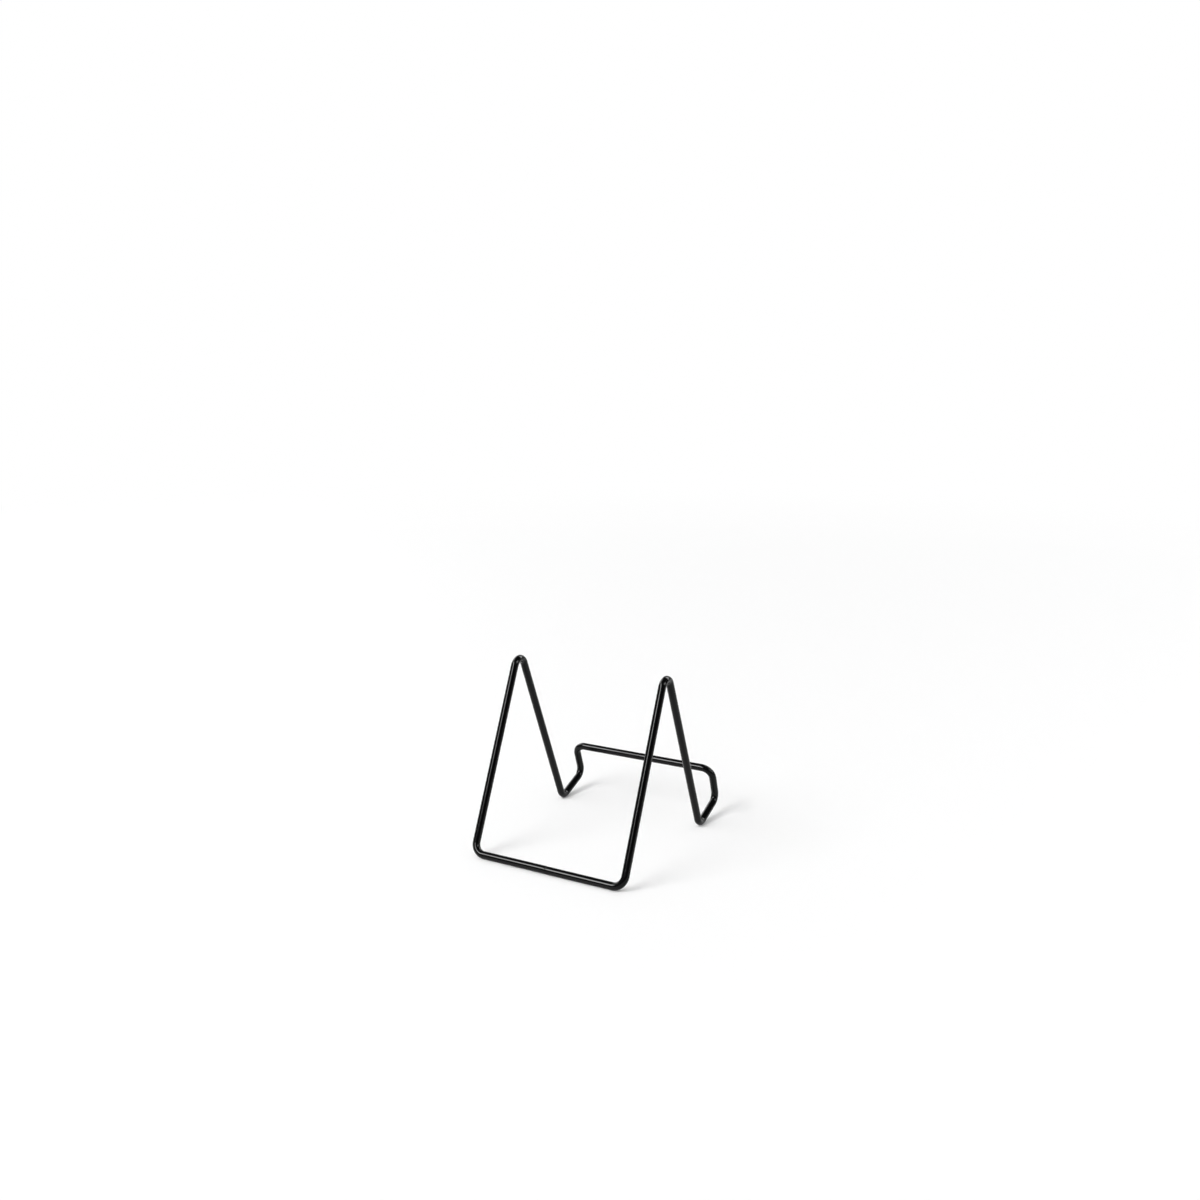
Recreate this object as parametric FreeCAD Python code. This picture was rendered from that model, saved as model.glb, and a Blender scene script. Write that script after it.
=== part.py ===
"""Record display stand: one closed loop of round steel wire, bent into an easel.

Seen from the side, the wire runs along the rear foot bar, up the rear leg to the peak, down the
front leg to the foot, forward and up along the arm, and up again into the lip. The two sides are
alike and are joined by the rear foot bar and the lip bar. The loop is closed by a butt weld in the
middle of the rear foot bar. Each straight stretch, each bend and the weld is a solid of its own,
and neighbours meet face to face.

Frame: millimetres, +Z up, the front of the stand faces -Y, left and right as seen from the front.
The origin lies on the table, under the middle of the stand's outline.
"""
import FreeCAD
import Part

import math
import os

from FreeCAD import Vector

# Wire
wire_diameter = 4.0          # finished, with its coat
corner_radius = 6.0          # centre line, where a side turns into a cross bar
fold_radius = 5.0            # centre line, at the peaks, the feet and the lip folds

# Frame, along centre lines from corner to corner
frame_width = 86.5           # between the two sides
rear_leg_length = 110.0
rear_leg_lean = 25.0         # degrees from upright, forward
front_leg_lean = 23.3        # degrees from upright, back
arm_length = 24.0
arm_rise = 19.0              # degrees from level
lip_turn = 90.0              # degrees between the arm's line and the lip post
lip_post_length = 20.0

# Weld that closes the loop
weld_length = 1.2

wire_radius = wire_diameter / 2
half_width = frame_width / 2
sides = {"left": -1, "right": 1}


def heading(degrees):
    """Unit vector in the side view, at an angle above level forward."""
    angle = math.radians(degrees)
    return Vector(0, -math.cos(angle), math.sin(angle))


def fold_centre_offset(first, second, radius):
    """From a corner to the centre of the arc that rounds it, between two unit headings away from it."""
    half_angle = first.getAngle(second) / 2
    return (first + second).normalize() * (radius / math.sin(half_angle))


# Headings away from each corner of the side view, towards the front of the stand
up_rear_leg = heading(90 - rear_leg_lean)
up_front_leg = heading(90 + front_leg_lean)
along_arm = heading(arm_rise)
up_lip = heading(arm_rise + lip_turn)

# Corners of the side view. The rear bar lies on the table, and so does the lowest point of each foot
rear_corner = Vector(0, 0, wire_radius)
peak = rear_corner + up_rear_leg * rear_leg_length
foot_height = wire_radius + fold_radius - fold_centre_offset(up_front_leg, along_arm, fold_radius).z
front_leg_length = (peak.z - foot_height) / up_front_leg.z
foot = peak - up_front_leg * front_leg_length
lip_fold = foot + along_arm * arm_length
lip_corner = lip_fold + up_lip * lip_post_length

# The middle of the outline from front to back becomes the origin
rear_reach = wire_radius
front_reach = (lip_fold + fold_centre_offset(-along_arm, up_lip, fold_radius)).y - fold_radius - wire_radius
to_origin = Vector(0, -(rear_reach + front_reach) / 2, 0)


def on_side(corner, side):
    """A corner of the side view, moved out to one side of the stand."""
    return corner + to_origin + Vector(side * half_width, 0, 0)


def in_middle(corner):
    """A corner of the side view, in the stand's middle plane."""
    return corner + to_origin


def straight(start, end):
    """Round wire along a straight run."""
    run = end - start
    return Part.makeCylinder(wire_radius, run.Length, start, run)


def tangent_length(before, corner, after, radius):
    """How far from the corner its arc begins."""
    return radius / math.tan((before - corner).getAngle(after - corner) / 2)


def towards(start, end, distance):
    """The point at a distance from start on the way to end."""
    return start + (end - start).normalize() * distance


def bend(before, corner, after, radius):
    """Round wire turned about the arc that rounds a corner."""
    incoming = (before - corner).normalize()
    outgoing = (after - corner).normalize()
    turn = 180 - math.degrees(incoming.getAngle(outgoing))
    start = towards(corner, before, tangent_length(before, corner, after, radius))
    centre = corner + fold_centre_offset(incoming, outgoing, radius)
    section = Part.Face(Part.Wire(Part.makeCircle(wire_radius, start, incoming)))
    return section.revolve(centre, outgoing.cross(incoming), turn)


def side_wire(name, side):
    """Stretches and bends of one side, by node name, from the weld to the end of the lip corner.

    Returns the solids, and the point where the lip bar starts.
    """
    route = [
        (in_middle(rear_corner), 0, "rear_foot_bar", ""),
        (on_side(rear_corner, side), corner_radius, "rear_leg", "rear_corner"),
        (on_side(peak, side), fold_radius, "front_leg", "peak_bend"),
        (on_side(foot, side), fold_radius, "lip_arm", "foot_bend"),
        (on_side(lip_fold, side), fold_radius, "lip_post", "lip_fold"),
        (on_side(lip_corner, side), corner_radius, "", "lip_corner"),
        (in_middle(lip_corner), 0, "", ""),
    ]
    points = [stop[0] for stop in route]
    solids = {}
    start = towards(points[0], points[1], weld_length / 2)
    for index in range(1, len(route) - 1):
        before, corner, after = points[index - 1:index + 2]
        radius = route[index][1]
        setback = tangent_length(before, corner, after, radius)
        solids[f"{route[index - 1][2]}_{name}"] = straight(start, towards(corner, before, setback))
        solids[f"{route[index][3]}_{name}"] = bend(before, corner, after, radius)
        start = towards(corner, after, setback)
    return solids, start


def stand():
    """Every solid of the stand, by node name."""
    solids = {}
    lip_bar_ends = []
    for name, side in sides.items():
        wire, lip_bar_end = side_wire(name, side)
        solids.update(wire)
        lip_bar_ends.append(lip_bar_end)
    solids["lip_bar"] = straight(*lip_bar_ends)
    half_weld = Vector(weld_length / 2, 0, 0)
    solids["butt_weld"] = straight(in_middle(rear_corner) - half_weld, in_middle(rear_corner) + half_weld)
    return solids


os.makedirs("parts", exist_ok=True)
for node, solid in stand().items():
    solid.exportStep(f"parts/{node}.step")
    print(f"{node}: {solid.Volume:.2f} mm3, valid {solid.isValid()}")
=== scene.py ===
"""Looks of the bent-wire display stand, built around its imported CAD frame.

The stand is one closed loop of round wire under a black powder coat. The loop's centre line is read
from the straight CAD stretches, and the bends between them are the arcs that touch both. One round
section is carried round that line as a single closed grid, and each stretch of the grid becomes the
piece that stands for the CAD node of the same stretch, so the pieces meet without a seam.

Metres, +Z up, the front faces -Y, left and right as seen from the front.
"""

import logging
import math
from dataclasses import dataclass, field
from enum import Enum
from typing import Any, Union

import bpy
import numpy as np
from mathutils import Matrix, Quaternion, Vector


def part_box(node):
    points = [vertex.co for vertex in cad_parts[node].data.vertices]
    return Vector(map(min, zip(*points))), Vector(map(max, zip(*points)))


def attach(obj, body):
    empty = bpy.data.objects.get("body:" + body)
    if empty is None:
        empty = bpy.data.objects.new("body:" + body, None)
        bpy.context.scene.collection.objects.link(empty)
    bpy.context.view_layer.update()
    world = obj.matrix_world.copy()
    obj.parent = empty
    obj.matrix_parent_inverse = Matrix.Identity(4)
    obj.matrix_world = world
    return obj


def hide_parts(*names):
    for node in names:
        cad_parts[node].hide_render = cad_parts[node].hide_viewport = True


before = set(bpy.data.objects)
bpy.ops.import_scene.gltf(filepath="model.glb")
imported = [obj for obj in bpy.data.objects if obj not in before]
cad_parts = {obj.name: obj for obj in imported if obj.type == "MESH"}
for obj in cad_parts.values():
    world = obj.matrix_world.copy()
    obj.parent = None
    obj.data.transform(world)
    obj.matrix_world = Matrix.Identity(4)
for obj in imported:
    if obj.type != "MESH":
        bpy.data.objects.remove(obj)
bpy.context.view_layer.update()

MILLIMETRE = 0.001
NOISE_MIDDLE = 0.5
log = logging.getLogger("stand")

Colour = tuple[float, float, float]
Direction = tuple[float, float, float]
Place = tuple[float, float, float]
Span = tuple[float, float]
Operand = Union["Signal", float]

WHITE: Colour = (1.0, 1.0, 1.0)


class Signal:
    """An output socket in a node graph. Arithmetic on it adds Math nodes."""

    def __init__(self, graph: "Graph", socket: bpy.types.NodeSocket | None) -> None:
        """Keep the socket and the graph it belongs to."""
        self.graph = graph
        self.socket = socket

    def maths(self, operation: str, first: Operand, second: Operand) -> "Signal":
        """Value of one Math node on two operands."""
        return self.graph.add("ShaderNodeMath", {"operation": operation}, {0: first, 1: second})

    def sibling(self, output: str) -> "Signal":
        """Another output of the same node, by name."""
        return Signal(self.graph, self.socket.node.outputs[output])

    def __add__(self, other: Operand) -> "Signal":
        """Sum with a value."""
        return self.maths("ADD", self, other)

    def __radd__(self, other: Operand) -> "Signal":
        """Sum with a number on the left."""
        return self.maths("ADD", other, self)

    def __sub__(self, other: Operand) -> "Signal":
        """Difference from a value."""
        return self.maths("SUBTRACT", self, other)

    def __rsub__(self, other: Operand) -> "Signal":
        """Difference from a number on the left."""
        return self.maths("SUBTRACT", other, self)

    def __mul__(self, other: Operand) -> "Signal":
        """Product with a value."""
        return self.maths("MULTIPLY", self, other)

    def __rmul__(self, other: Operand) -> "Signal":
        """Product with a number on the left."""
        return self.maths("MULTIPLY", other, self)


class Graph:
    """The node graph of one material or of the world."""

    def __init__(self, owner: Union[bpy.types.Material, bpy.types.World]) -> None:
        """Start an empty graph.

        Args:
            owner: Material or world whose nodes are replaced.
        """
        owner.use_nodes = True
        self.tree = owner.node_tree
        self.tree.nodes.clear()

    def add(
        self,
        kind: str,
        settings: dict[str, Any] | None = None,
        inputs: dict[str | int, Any] | None = None,
        output: str | int = 0,
    ) -> Signal:
        """Make one node, set its settings, then its sockets.

        Args:
            kind: Node type, such as "ShaderNodeTexNoise".
            settings: Properties of the node, set before its sockets.
            inputs: A number, a tuple or a Signal for each socket, by name or index.
            output: Name or index of the output that is returned.

        Returns:
            That output as a Signal, which is empty for a node without outputs.
        """
        node = self.tree.nodes.new(kind)
        for name, value in (settings or {}).items():
            setattr(node, name, value)
        for name, value in (inputs or {}).items():
            if isinstance(value, Signal):
                self.tree.links.new(value.socket, node.inputs[name])
            else:
                node.inputs[name].default_value = value
        return Signal(self, node.outputs[output]) if len(node.outputs) else Signal(self, None)

    def noise(self, place: Signal, size: float, detail: float) -> Signal:
        """Noise from 0 to 1 whose lumps are about one size, in metres, across."""
        inputs = {"Vector": place, "Scale": 1 / size, "Detail": detail}
        return self.add("ShaderNodeTexNoise", None, inputs, "Fac")

    def smooth(self, value: Signal, span: Span) -> Signal:
        """Smooth step from 0 at the low end of a span to 1 at its high end."""
        inputs = {"Value": value, "From Min": span[0], "From Max": span[1]}
        return self.add("ShaderNodeMapRange", {"interpolation_type": "SMOOTHSTEP"}, inputs)

    def blend(self, factor: Operand, first: Union[Signal, Colour], second: Union[Signal, Colour]) -> Signal:
        """Colour between two colours. The colour sockets of a Mix node are inputs 6 and 7 and output 2.

        Args:
            factor: 0 for the first colour, 1 for the second.
            first: A colour or a Signal.
            second: A colour or a Signal.

        Returns:
            The blended colour.
        """
        ends = [end if isinstance(end, Signal) else (*end, 1.0) for end in (first, second)]
        return self.add("ShaderNodeMix", {"data_type": "RGBA"}, {0: factor, 6: ends[0], 7: ends[1]}, 2)


@dataclass(frozen=True)
class PowderCoat:
    """Black powder coat: satin, with fine orange peel, polished where things rub and dulled underneath.

    Attributes:
        name: Name of the material.
        deep: Darkest black of the coat.
        pale: Palest black of the coat.
        dust: Colour of the dust in scratches.
        dust_share: How far the dust covers a scratch.
        specular: Strength of the mirror in the coat.
        roughness: Roughness of the untouched coat.
        roughness_spread: How far clouds and grain move the roughness.
        rub_polish: Roughness lost where the coat is rubbed.
        scuff_dulling: Roughness gained in a scratch.
        peel_size: Width of the lumps of orange peel.
        peel_height: Height of those lumps.
        peel_detail: Octaves of noise in them.
        grain_size: Width of the fine grain.
        grain_height: Height of the grain.
        grain_detail: Octaves of noise in it.
        cloud_size: Width of the clouds in colour and roughness.
        cloud_detail: Octaves of noise in them.
        scratch_size: Width of the broken scratches.
        scratch_detail: Octaves of noise in them.
        scratch_edge: Noise values between which a scratch begins.
    """

    name: str = "black_powder_coat"
    deep: Colour = (0.0012, 0.0012, 0.0013)
    pale: Colour = (0.0028, 0.0028, 0.0030)
    dust: Colour = (0.0300, 0.0295, 0.0290)
    dust_share: float = 0.6
    specular: float = 0.16
    roughness: float = 0.13
    roughness_spread: float = 0.05
    rub_polish: float = 0.04
    scuff_dulling: float = 0.22
    peel_size: float = 1.5 * MILLIMETRE
    peel_height: float = 0.0075 * MILLIMETRE
    peel_detail: float = 1.5
    grain_size: float = 0.22 * MILLIMETRE
    grain_height: float = 0.0006 * MILLIMETRE
    grain_detail: float = 2.0
    cloud_size: float = 7.0 * MILLIMETRE
    cloud_detail: float = 3.0
    scratch_size: float = 0.5 * MILLIMETRE
    scratch_detail: float = 4.0
    scratch_edge: Span = (0.48, 0.62)

    def material(self) -> bpy.types.Material:
        """Build the coat's nodes.

        The height is lumps of orange peel plus a fine grain, in metres. Roughness drifts in soft clouds,
        falls by the "rub" attribute and rises by broken scratches where the "scuff" attribute is set.

        Returns:
            The finished material.
        """
        material = bpy.data.materials.new(self.name)
        graph = Graph(material)
        place = graph.add("ShaderNodeTexCoord", None, None, "Object")
        rub = graph.add("ShaderNodeAttribute", {"attribute_name": "rub"}, None, "Fac")
        scuff = graph.add("ShaderNodeAttribute", {"attribute_name": "scuff"}, None, "Fac")
        clouds = graph.noise(place, self.cloud_size, self.cloud_detail)
        peel = graph.noise(place, self.peel_size, self.peel_detail)
        grain = graph.noise(place, self.grain_size, self.grain_detail)
        scratch_noise = graph.noise(place, self.scratch_size, self.scratch_detail)
        worn = scuff * graph.smooth(scratch_noise, self.scratch_edge)

        coat = graph.blend(clouds, self.deep, self.pale)
        colour = graph.blend(worn * self.dust_share, coat, self.dust)
        roughness = (
            self.roughness
            + (clouds - NOISE_MIDDLE) * self.roughness_spread
            + (grain - NOISE_MIDDLE) * self.roughness_spread
            + worn * self.scuff_dulling
            - rub * self.rub_polish
        )
        height = peel * self.peel_height + grain * self.grain_height
        bump = {"Strength": 1.0, "Distance": 1.0, "Height": height}
        relief = graph.add("ShaderNodeBump", None, bump, "Normal")
        shader = graph.add(
            "ShaderNodeBsdfPrincipled",
            None,
            {
                "Base Color": colour,
                "Roughness": roughness,
                "Normal": relief,
                "Specular IOR Level": self.specular,
            },
        )
        graph.add("ShaderNodeOutputMaterial", None, {"Surface": shader})
        return material


@dataclass(frozen=True)
class FloorPaper:
    """Matt white paper under the stand, partly lost in white light, which fades into a white background.

    Attributes:
        name: Name of the material.
        colour: Colour of the paper.
        roughness: Roughness of the paper.
        specular: Strength of the mirror in the paper.
        glow: Share of the paper near the stand that is lost in white light.
        contact_reach: Distance within which ambient occlusion takes the white glow off the paper, a painted
            contact shadow.
        contact_samples: Rays that look for the wire from each point of the paper.
        fade: Distances from the stand between which the paper turns into white background.
    """

    name: str = "white_paper"
    colour: Colour = (0.93, 0.93, 0.93)
    roughness: float = 0.55
    specular: float = 0.25
    glow: float = 0.4
    contact_reach: float = 5.0 * MILLIMETRE
    contact_samples: int = 4
    fade: Span = (0.45, 1.60)

    def material(self) -> bpy.types.Material:
        """Build the paper's nodes: pale shadows near the stand, white background further out.

        The white glow is an emission, and ambient occlusion takes it off close under the wire: a painted
        contact shadow where the stand touches the paper.

        Returns:
            The finished material.
        """
        material = bpy.data.materials.new(self.name)
        graph = Graph(material)
        place = graph.add("ShaderNodeTexCoord", None, None, "Object")
        distance = graph.add("ShaderNodeVectorMath", {"operation": "LENGTH"}, {0: place}, "Value")
        rays = graph.add("ShaderNodeLightPath", None, None, "Is Camera Ray")
        seen = rays + rays.sibling("Is Glossy Ray") + rays.sibling("Is Transmission Ray")
        far = graph.smooth(distance, self.fade)
        # Painted contact shadow: ambient occlusion takes the white emission off the paper close under the
        # wire.
        painted_contact_openness = graph.add(
            "ShaderNodeAmbientOcclusion",
            {"samples": self.contact_samples},
            {"Distance": self.contact_reach},
            "AO",
        )
        whiteness = (self.glow * painted_contact_openness + (1.0 - self.glow) * far) * seen
        paper = graph.add(
            "ShaderNodeBsdfPrincipled",
            None,
            {
                "Base Color": (*self.colour, 1.0),
                "Roughness": self.roughness,
                "Specular IOR Level": self.specular,
            },
        )
        white = graph.add("ShaderNodeEmission", None, {"Color": (*WHITE, 1.0), "Strength": 1.0})
        shader = graph.add("ShaderNodeMixShader", None, {0: whiteness, 1: paper, 2: white})
        graph.add("ShaderNodeOutputMaterial", None, {"Surface": shader})
        return material


class Form(Enum):
    """What a stretch of the wire is."""

    STRAIGHT = "straight"
    BEND = "bend"
    WELD = "weld"


@dataclass
class Line:
    """The centre line of one stretch, as arrays with one row to a ring of the wire.

    Attributes:
        node: CAD node that the stretch stands for.
        form: What the stretch is.
        centres: Ring centres.
        first: Unit vectors across the wire, carried along without twist.
        second: Unit vectors square to those and to the wire.
        inward: Unit vectors towards the middle of a bend, zero elsewhere.
        share: How far along the stretch each ring lies, from 0 to 1.
    """

    node: str
    form: Form
    centres: np.ndarray
    first: np.ndarray
    second: np.ndarray
    inward: np.ndarray
    share: np.ndarray


def unit(vector: np.ndarray) -> np.ndarray:
    """The vector at length 1, along the last axis."""
    return vector / np.linalg.norm(vector, axis=-1, keepdims=True)


def smoothstep(value: np.ndarray) -> np.ndarray:
    """Smooth rise from 0 at 0 to 1 at 1."""
    clipped = np.clip(value, 0.0, 1.0)
    return clipped * clipped * (3.0 - 2.0 * clipped)


def turned(vector: np.ndarray, axis: np.ndarray, angles: np.ndarray) -> np.ndarray:
    """A vector turned about a unit axis by each of several angles.

    Rodrigues' formula: the part across the axis turns with the cosine and the sine, the part along it stays.

    Args:
        vector: The vector, 3 numbers.
        axis: The unit axis, 3 numbers.
        angles: The angles, in radians.

    Returns:
        One row for each angle.
    """
    cosine = np.cos(angles)[:, None]
    sine = np.sin(angles)[:, None]
    return vector * cosine + np.cross(axis, vector) * sine + axis * (axis @ vector) * (1.0 - cosine)


def cad_points(node: str) -> np.ndarray:
    """Vertices of a CAD node.

    Args:
        node: Name of the CAD node.

    Returns:
        The vertices in metres, one row each.
    """
    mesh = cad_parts[node].data
    points = np.empty(len(mesh.vertices) * 3, np.float32)
    mesh.vertices.foreach_get("co", points)
    return points.reshape(-1, 3).astype(float)


def straight_ends(node: str) -> tuple[np.ndarray, np.ndarray]:
    """Centres of the two ends of a straight CAD stretch.

    Its vertices lie on two end circles, so each end's centre is halfway between the lowest and the highest
    corner of the vertices on that side of the stretch's middle.

    Args:
        node: Name of the CAD node.

    Returns:
        The two centres, in no set order.
    """
    points = cad_points(node)
    middle = (points.min(0) + points.max(0)) / 2
    along = np.linalg.svd(points - middle, full_matrices=False)[2][0]
    side = (points - middle) @ along > 0
    ends = [points[side], points[~side]]
    return tuple((end.min(0) + end.max(0)) / 2 for end in ends)


@dataclass(frozen=True)
class Rub:
    """A stretch whose coat is polished by use, on the side that faces one way.

    Attributes:
        stretch: How the names of its nodes begin.
        facing: The way that the polished side faces.
    """

    stretch: str
    facing: Direction


@dataclass
class WireLoop:
    """The whole bent wire, from the weld round the right side, the lip and the left side back to the weld.

    Attributes:
        coat: Finish of the wire.
        sides: Corners of the round section.
        run_step: Distance between rings on a straight stretch.
        turn_step: Angle between rings in a bend, in degrees.
        weld_rings: Rings along the weld.
        weld_step: Height by which the right-hand wire end stands above the left-hand one at the weld.
        weld_sharpness: Share of the weld's length over which that step falls.
        weld_groove: Depth of the hairline between the two wire ends, under the coat.
        weld_groove_width: Share of the weld's length that the hairline takes.
        weld_dressing: Depth of the shallow flat that the file left on the upper side.
        dressing_slope: How fast the flat deepens as the skin turns up.
        dressing_edge: How far the flat keeps off the sides of the wire.
        bend_press: Share of the radius by which the inside of a bend is pressed flat.
        rubs: Where the coat is polished by use.
        rub_edge: Cosine from a rub's own direction at which the polish begins.
        rub_range: Cosine over which it becomes full.
        scuff_height: Height above the table up to which the coat is dulled.
        radius: Radius of the wire, read from the CAD.
    """

    coat: PowderCoat = field(default_factory=PowderCoat)
    sides: int = 72
    run_step: float = 3.0 * MILLIMETRE
    turn_step: float = 2.5
    weld_rings: int = 33
    weld_step: float = 0.10 * MILLIMETRE
    weld_sharpness: float = 0.25
    weld_groove: float = 0.14 * MILLIMETRE
    weld_groove_width: float = 0.22
    weld_dressing: float = 0.06 * MILLIMETRE
    dressing_slope: float = 1.4
    dressing_edge: float = 0.2
    bend_press: float = 0.06
    rubs: tuple[Rub, ...] = (
        Rub("peak_bend", (0.0, -0.6, 0.8)),
        Rub("lip_arm", (0.0, 0.3, 0.95)),
        Rub("lip_fold", (0.0, 0.9, 0.4)),
        Rub("lip_post", (0.0, 0.95, 0.3)),
    )
    rub_edge: float = 0.55
    rub_range: float = 0.4
    scuff_height: float = 0.35 * MILLIMETRE
    radius: float = field(init=False)

    def __post_init__(self) -> None:
        """Read the wire's radius from the CAD lip bar, which lies square to the frame."""
        low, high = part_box("lip_bar")
        self.radius = (high.z - low.z) / 2

    def route(self) -> list[tuple[str, Form]]:
        """Every stretch in order round the loop.

        Returns:
            Node name and form of each stretch.
        """
        half = [
            ("rear_foot_bar", Form.STRAIGHT),
            ("rear_corner", Form.BEND),
            ("rear_leg", Form.STRAIGHT),
            ("peak_bend", Form.BEND),
            ("front_leg", Form.STRAIGHT),
            ("foot_bend", Form.BEND),
            ("lip_arm", Form.STRAIGHT),
            ("lip_fold", Form.BEND),
            ("lip_post", Form.STRAIGHT),
            ("lip_corner", Form.BEND),
        ]
        out = [(f"{name}_right", form) for name, form in half]
        back = [(f"{name}_left", form) for name, form in reversed(half)]
        return out + [("lip_bar", Form.STRAIGHT)] + back + [("butt_weld", Form.WELD)]

    def runs(self) -> dict[str, tuple[np.ndarray, np.ndarray]]:
        """Start and end of each straight stretch, in the direction of the loop.

        Returns:
            Start and end by node name.
        """
        runs = {}
        last = np.zeros(3)
        for node, form in self.route():
            if form is Form.STRAIGHT:
                start, end = sorted(straight_ends(node), key=lambda point: np.linalg.norm(point - last))
                runs[node] = (start, end)
                last = end
        return runs

    def run_line(self, node: str, form: Form, start: np.ndarray, end: np.ndarray, first: np.ndarray) -> Line:
        """Centre line of a straight stretch: evenly spaced points between its ends.

        Args:
            node: CAD node.
            form: Straight or weld.
            start: Centre of the first ring.
            end: Centre of the last ring.
            first: Unit vector across the wire at the start.

        Returns:
            The line.
        """
        length = np.linalg.norm(end - start)
        count = self.weld_rings if form is Form.WELD else int(np.ceil(length / self.run_step)) + 1
        share = np.linspace(0.0, 1.0, count)
        across = np.tile(first, (count, 1))
        second = np.tile(np.cross(unit(end - start), first), (count, 1))
        centres = start + (end - start) * share[:, None]
        return Line(node, form, centres, across, second, np.zeros((count, 3)), share)

    def bend_line(
        self,
        node: str,
        start: np.ndarray,
        heading: np.ndarray,
        end: np.ndarray,
        leaving: np.ndarray,
        first: np.ndarray,
    ) -> Line:
        """Centre line of a bend: the arc that touches the run before it and the run after it.

        The arc turns about the axis square to both headings. Its radius is half the chord over the sine of
        half the turn, and everything on the first ring turns about the arc's centre.

        Args:
            node: CAD node.
            start: End of the run before.
            heading: Unit direction of that run.
            end: Start of the run after.
            leaving: Unit direction of that run.
            first: Unit vector across the wire at the start.

        Returns:
            The line.
        """
        axis = unit(np.cross(heading, leaving))
        turn = math.acos(float(np.clip(heading @ leaving, -1.0, 1.0)))
        radius = np.linalg.norm(end - start) / (2.0 * math.sin(turn / 2.0))
        count = int(np.ceil(math.degrees(turn) / self.turn_step)) + 1
        share = np.linspace(0.0, 1.0, count)
        angles = turn * share
        inward = turned(np.cross(axis, heading), axis, angles)
        centre = start + np.cross(axis, heading) * radius
        second = np.cross(heading, first)
        return Line(
            node,
            Form.BEND,
            centre - inward * radius,
            turned(first, axis, angles),
            turned(second, axis, angles),
            inward,
            share,
        )

    def lines(self) -> list[Line]:
        """Centre lines of all stretches, with one cross direction carried right round the loop.

        Returns:
            The lines in order.
        """
        runs = self.runs()
        route = self.route()
        names = list(runs)
        first = np.array([0.0, 0.0, 1.0])
        lines: list[Line] = []
        for index, (node, form) in enumerate(route):
            if form is Form.STRAIGHT:
                line = self.run_line(node, form, *runs[node], first)
            elif form is Form.BEND:
                before = runs[route[index - 1][0]]
                after = runs[route[index + 1][0]]
                heading = unit(before[1] - before[0])
                line = self.bend_line(node, before[1], heading, after[0], unit(after[1] - after[0]), first)
            else:
                line = self.run_line(node, form, runs[names[-1]][1], runs[names[0]][0], first)
            first = line.first[-1]
            lines.append(line)
        return lines

    def lift(self, line: Line) -> np.ndarray:
        """Height of each ring over the true centre line.

        The right-hand half of the rear bar climbs evenly to the weld, and across the weld the height falls
        back in one smooth step.

        Args:
            line: The stretch.

        Returns:
            One height to a ring.
        """
        if line.node == "rear_foot_bar_right":
            return self.weld_step * (1.0 - line.share)
        if line.form is Form.WELD:
            edge = (1.0 - self.weld_sharpness) / 2
            return self.weld_step * smoothstep((line.share - edge) / self.weld_sharpness)
        return np.zeros(len(line.share))

    def surface(self, line: Line) -> np.ndarray:
        """The wire's skin along one stretch, as rings of points.

        Each point is the ring's centre plus the radius in the direction cos(a) first + sin(a) second. In a
        bend, the inner half is pressed towards the centre line by a share of the radius that swells and fades
        with the square of the sine along the bend. At the weld, a bell-shaped hairline runs round the wire,
        and a shallow flat, which fades with the square of the sine along the weld, lies on its upper side.

        Args:
            line: The stretch.

        Returns:
            Points by ring, corner and axis.
        """
        angle = np.linspace(0.0, 2.0 * np.pi, self.sides, endpoint=False)[None, :, None]
        ray = np.cos(angle) * line.first[:, None] + np.sin(angle) * line.second[:, None]
        inner = np.clip(np.einsum("kij,kj->ki", ray, line.inward), 0.0, None)
        swell = np.sin(np.pi * line.share)[:, None] ** 2
        press = self.bend_press * swell * inner**2
        cut = np.zeros(inner.shape)
        if line.form is Form.WELD:
            hairline = np.exp(-(((line.share - 0.5) / (self.weld_groove_width / 2)) ** 2))[:, None]
            upper = smoothstep(ray[..., 2] * self.dressing_slope - self.dressing_edge)
            cut = self.weld_groove * hairline + self.weld_dressing * swell * upper
        points = line.centres[:, None] + ray * (self.radius - cut)[..., None]
        points -= line.inward[:, None] * (press * self.radius)[..., None]
        points[..., 2] += self.lift(line)[:, None]
        return points

    def polish(self, line: Line, normals: np.ndarray) -> np.ndarray:
        """How far the coat is polished by use: the tops of the peaks and arms, and the inner side of the lip.

        The polish fades to nothing at both ends of a stretch, with the square of the sine along it.

        Args:
            line: The stretch.
            normals: Outward unit normals by ring and corner.

        Returns:
            0 to 1 by ring and corner.
        """
        swell = np.sin(np.pi * line.share)[:, None] ** 2
        for rub in self.rubs:
            if line.node.startswith(rub.stretch):
                towards = normals @ unit(np.array(rub.facing))
                return swell * smoothstep((towards - self.rub_edge) / self.rub_range)
        return np.zeros(normals.shape[:2])

    def scuff(self, points: np.ndarray) -> np.ndarray:
        """How far, from 0 to 1, the coat is dulled where it stands: the lowest strip of the wire."""
        return smoothstep(1.0 - points[..., 2] / self.scuff_height)

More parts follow.
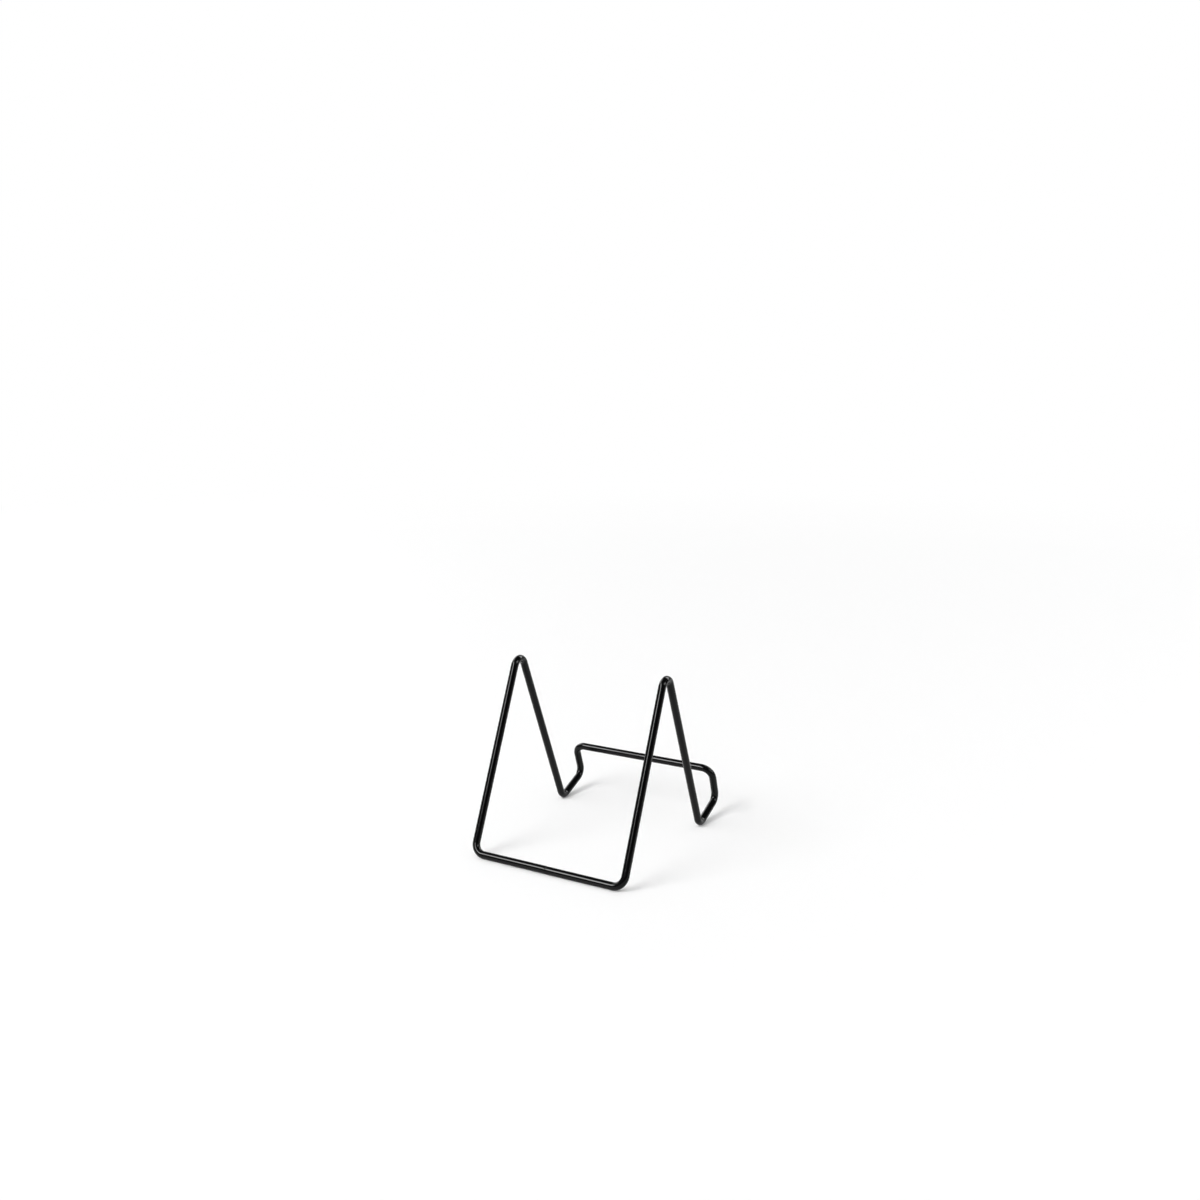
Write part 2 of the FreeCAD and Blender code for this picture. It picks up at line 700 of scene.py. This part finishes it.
    def build(self) -> list[bpy.types.Object]:
        """Make every piece of the wire and dress it.

        The rings of all stretches form one grid that is closed both ways. Normals are the cross product of
        the grid's central differences, so neighbouring pieces share them where they meet.

        Returns:
            The pieces.
        """
        lines = self.lines()
        skins = [self.surface(line) for line in lines]
        grid = np.concatenate([skin[:-1] for skin in skins])
        along = np.roll(grid, -1, 0) - np.roll(grid, 1, 0)
        around = np.roll(grid, -1, 1) - np.roll(grid, 1, 1)
        normals = unit(np.cross(around, along))
        material = self.coat.material()
        pieces = []
        start = 0
        for line, skin in zip(lines, skins):
            rows = (start + np.arange(len(skin))) % len(grid)
            start += len(skin) - 1
            piece = closed_tube(f"wire_{line.node}", grid[rows], normals[rows])
            put_attribute(piece, "rub", self.polish(line, normals[rows]))
            put_attribute(piece, "scuff", self.scuff(grid[rows]))
            piece.data.materials.append(material)
            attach(piece, "root")
            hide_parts(line.node)
            pieces.append(piece)
        return pieces


def closed_tube(name: str, rings: np.ndarray, normals: np.ndarray) -> bpy.types.Object:
    """A tube through rings of points, closed by a flat fan at each end.

    Quads join each corner of a ring to the next corner and the next ring. The tube keeps the given normals,
    and each fan keeps its flat one, which is square to two spokes a quarter turn apart.

    Args:
        name: Name of the object.
        rings: Points by ring, corner and axis.
        normals: Outward unit normals, in the same order.

    Returns:
        The object, linked into the scene.
    """
    count, sides = rings.shape[:2]
    index = np.arange(count * sides).reshape(count, sides)
    after = np.roll(index, -1, 1)
    quads = np.stack([index[:-1], after[:-1], after[1:], index[1:]], -1).reshape(-1, 4)
    hubs = np.array([count * sides, count * sides + 1])
    first_fan = np.stack([np.full(sides, hubs[0]), after[0], index[0]], -1)
    last_fan = np.stack([np.full(sides, hubs[1]), index[-1], after[-1]], -1)
    centres = rings[[0, -1]].mean(1)
    points = np.concatenate([rings.reshape(-1, 3), centres])

    mesh = bpy.data.meshes.new(name)
    mesh.from_pydata(points.tolist(), [], quads.tolist() + first_fan.tolist() + last_fan.tolist())
    mesh.polygons.foreach_set("use_smooth", np.ones(len(mesh.polygons), bool))
    spokes = rings[[0, -1]] - centres[:, None]
    backward = np.cross(spokes[:, sides // 4], spokes[:, 0])
    flat = unit(backward * np.array([[1.0], [-1.0]]))
    corners = np.concatenate([normals.reshape(-1, 3)[quads.ravel()], np.repeat(flat, 3 * sides, 0)])
    mesh.normals_split_custom_set(corners.tolist())
    mesh.update()

    tube = bpy.data.objects.new(name, mesh)
    bpy.context.scene.collection.objects.link(tube)
    return tube


def put_attribute(piece: bpy.types.Object, name: str, values: np.ndarray) -> None:
    """Store one number to a vertex, with 0 at the two hubs of a tube's ends.

    Args:
        piece: A tube from closed_tube.
        name: Name of the attribute.
        values: Numbers by ring and corner.
    """
    attribute = piece.data.attributes.new(name, "FLOAT", "POINT")
    attribute.data.foreach_set("value", np.append(values.ravel(), [0.0, 0.0]).astype(np.float32))


def line_of_sight(heading: float, pitch: float) -> Vector:
    """Unit direction at a heading from +Y towards +X and a pitch above level, both in degrees.

    Args:
        heading: Degrees from +Y towards +X.
        pitch: Degrees above level.

    Returns:
        The direction.
    """
    turn = math.radians(heading)
    rise = math.radians(pitch)
    return Vector((math.sin(turn) * math.cos(rise), math.cos(turn) * math.cos(rise), math.sin(rise)))


class Reach(Enum):
    """What a lamp acts on."""

    EVERYTHING = "everything"
    GLOSS = "gloss"
    SHADE = "shade"


@dataclass(frozen=True)
class Softbox:
    """A long far-off lamp, the same over the whole floor.

    Attributes:
        name: Name of the lamp.
        azimuth: Its direction from the stand, in degrees from +Y towards +X.
        elevation: Its height above level, in degrees.
        long: Its length as seen from the stand, in degrees.
        short: Its width as seen from the stand, in degrees.
        tilt: Turn of its length from level, in degrees.
        brightness: Its own brightness, where lit white paper is 1.
        reach: Whether it lights, shows in reflections, or both.
        distance: How far off it stands.
    """

    name: str
    azimuth: float
    elevation: float
    long: float
    short: float
    tilt: float
    brightness: float
    reach: Reach = Reach.EVERYTHING
    distance: float = 12.0

    def build(self) -> bpy.types.Object:
        """Make the lamp: an ellipse that faces the stand, with a power of pi times its area and brightness.

        Returns:
            The lamp object.
        """
        data = bpy.data.lights.new(self.name, "AREA")
        data.shape = "ELLIPSE"
        data.size = 2.0 * self.distance * math.tan(math.radians(self.long / 2))
        data.size_y = 2.0 * self.distance * math.tan(math.radians(self.short / 2))
        data.energy = math.pi * (math.pi / 4 * data.size * data.size_y) * self.brightness
        lamp = bpy.data.objects.new(self.name, data)
        towards = line_of_sight(self.azimuth, self.elevation)
        lamp.location = towards * self.distance
        lamp.rotation_mode = "QUATERNION"
        turn = Quaternion((0.0, 0.0, 1.0), math.radians(self.tilt))
        lamp.rotation_quaternion = (-towards).to_track_quat("-Z", "Y") @ turn
        lamp.visible_camera = False
        lamp.visible_glossy = self.reach is not Reach.SHADE
        lamp.visible_diffuse = self.reach is not Reach.GLOSS
        bpy.context.scene.collection.objects.link(lamp)
        return lamp


@dataclass
class Studio:
    """Floor, white background, lamps and camera.

    Attributes:
        paper: Finish of the floor.
        floor_reach: Half the floor's width.
        lamps: The lamps.
        room: Grey of the dim room behind the camera.
        view_side: How far a mirrored direction runs with the view, where the background fades in.
        view_top: How steeply a mirrored direction rises, where the background fades out.
        camera_place: Where the camera stands.
        heading: Its direction, in degrees from +Y towards +X.
        pitch: Its tilt above level, in degrees.
        roll: Its turn about the line of sight, in degrees.
        sensor: Width of its sensor, in millimetres.
        lens: Its focal length, in millimetres.
    """

    paper: FloorPaper = field(default_factory=FloorPaper)
    floor_reach: float = 12.0
    lamps: tuple[Softbox, ...] = (
        Softbox("key", 28.9, 40.5, 50.0, 17.0, -35.0, 14.4),
        Softbox("key_card", 27.2, 39.0, 46.0, 10.0, -36.0, 16.0, Reach.GLOSS, 10.0),
        Softbox("overhead_fill", 0.0, 90.0, 130.0, 130.0, 0.0, 0.53, Reach.SHADE),
        Softbox("front_card", 200.0, 35.0, 60.0, 16.0, 45.0, 9.0, Reach.GLOSS),
        Softbox("left_card", -95.0, 32.0, 50.0, 14.0, -45.0, 9.0, Reach.GLOSS),
        Softbox("right_card", 110.0, 30.0, 60.0, 36.0, 45.0, 3.5, Reach.GLOSS),
    )
    room: Colour = (0.05, 0.05, 0.05)
    view_side: Span = (0.5, 0.8)
    view_top: Span = (0.25, 0.5)
    camera_place: Place = (-0.284446, 0.519255, 0.259822)
    heading: float = 151.3600
    pitch: float = -12.4545
    roll: float = -0.2443
    sensor: float = 36.0
    lens: float = 35.2633

    def forward(self) -> Vector:
        """Unit line of sight of the camera."""
        return line_of_sight(self.heading, self.pitch)

    def build_floor(self) -> bpy.types.Object:
        """Lay the paper, a flat square just under the stand.

        Returns:
            The floor object.
        """
        corner = self.floor_reach
        across, deep = np.meshgrid([-corner, corner], [-corner, corner])
        points = np.stack([across.ravel(), deep.ravel(), np.zeros(4)], -1)
        mesh = bpy.data.meshes.new("floor")
        mesh.from_pydata(points.tolist(), [], [[0, 1, 3, 2]])
        mesh.materials.append(self.paper.material())
        floor = bpy.data.objects.new("floor", mesh)
        bpy.context.scene.collection.objects.link(floor)
        return floor

    def build_world(self) -> bpy.types.World:
        """Light the background white for the camera, and in gloss and glass as far as the view takes it in.

        Elsewhere, reflections and soft light show a dim room.

        Returns:
            The world.
        """
        world = bpy.data.worlds.new("studio")
        bpy.context.scene.world = world
        graph = Graph(world)
        direction = graph.add("ShaderNodeTexCoord", None, None, "Generated")
        away = self.forward()
        inputs = {0: direction, 1: (away.x, away.y, 0.0)}
        facing = graph.add("ShaderNodeVectorMath", {"operation": "DOT_PRODUCT"}, inputs, "Value")
        rays = graph.add("ShaderNodeLightPath", None, None, "Is Camera Ray")
        mirrored = rays.sibling("Is Glossy Ray") + rays.sibling("Is Transmission Ray")
        height = graph.add("ShaderNodeSeparateXYZ", None, {0: direction}, "Z")
        in_view = graph.smooth(facing, self.view_side) * (1.0 - graph.smooth(height, self.view_top))
        seen = rays + mirrored * in_view
        colour = graph.blend(seen, self.room, WHITE)
        background = graph.add("ShaderNodeBackground", None, {"Color": colour, "Strength": 1.0})
        graph.add("ShaderNodeOutputWorld", None, {"Surface": background})
        return world

    def build_camera(self) -> bpy.types.Object:
        """Place the camera at the photograph's viewing angle.

        Returns:
            The camera object.
        """
        data = bpy.data.cameras.new("camera")
        data.sensor_width = self.sensor
        data.lens = self.lens
        camera = bpy.data.objects.new("camera", data)
        camera.location = self.camera_place
        camera.rotation_mode = "QUATERNION"
        level = self.forward().to_track_quat("-Z", "Y")
        camera.rotation_quaternion = level @ Quaternion((0.0, 0.0, 1.0), math.radians(self.roll))
        bpy.context.scene.collection.objects.link(camera)
        bpy.context.scene.camera = camera
        return camera

    def build(self) -> None:
        """Make the floor, the background, the lamps and the camera."""
        bpy.context.scene.view_settings.view_transform = "Standard"
        self.build_floor()
        self.build_world()
        for lamp in self.lamps:
            lamp.build()
        self.build_camera()


def main() -> None:
    """Build the stand, then the studio round it, and report each piece."""
    logging.basicConfig(level=logging.INFO, format="%(message)s")
    pieces = WireLoop().build()
    for piece in pieces:
        log.info("%s: %d faces", piece.name, len(piece.data.polygons))
    log.info("%d pieces of coated wire", len(pieces))
    Studio().build()


if __name__ == "__main__":
    main()
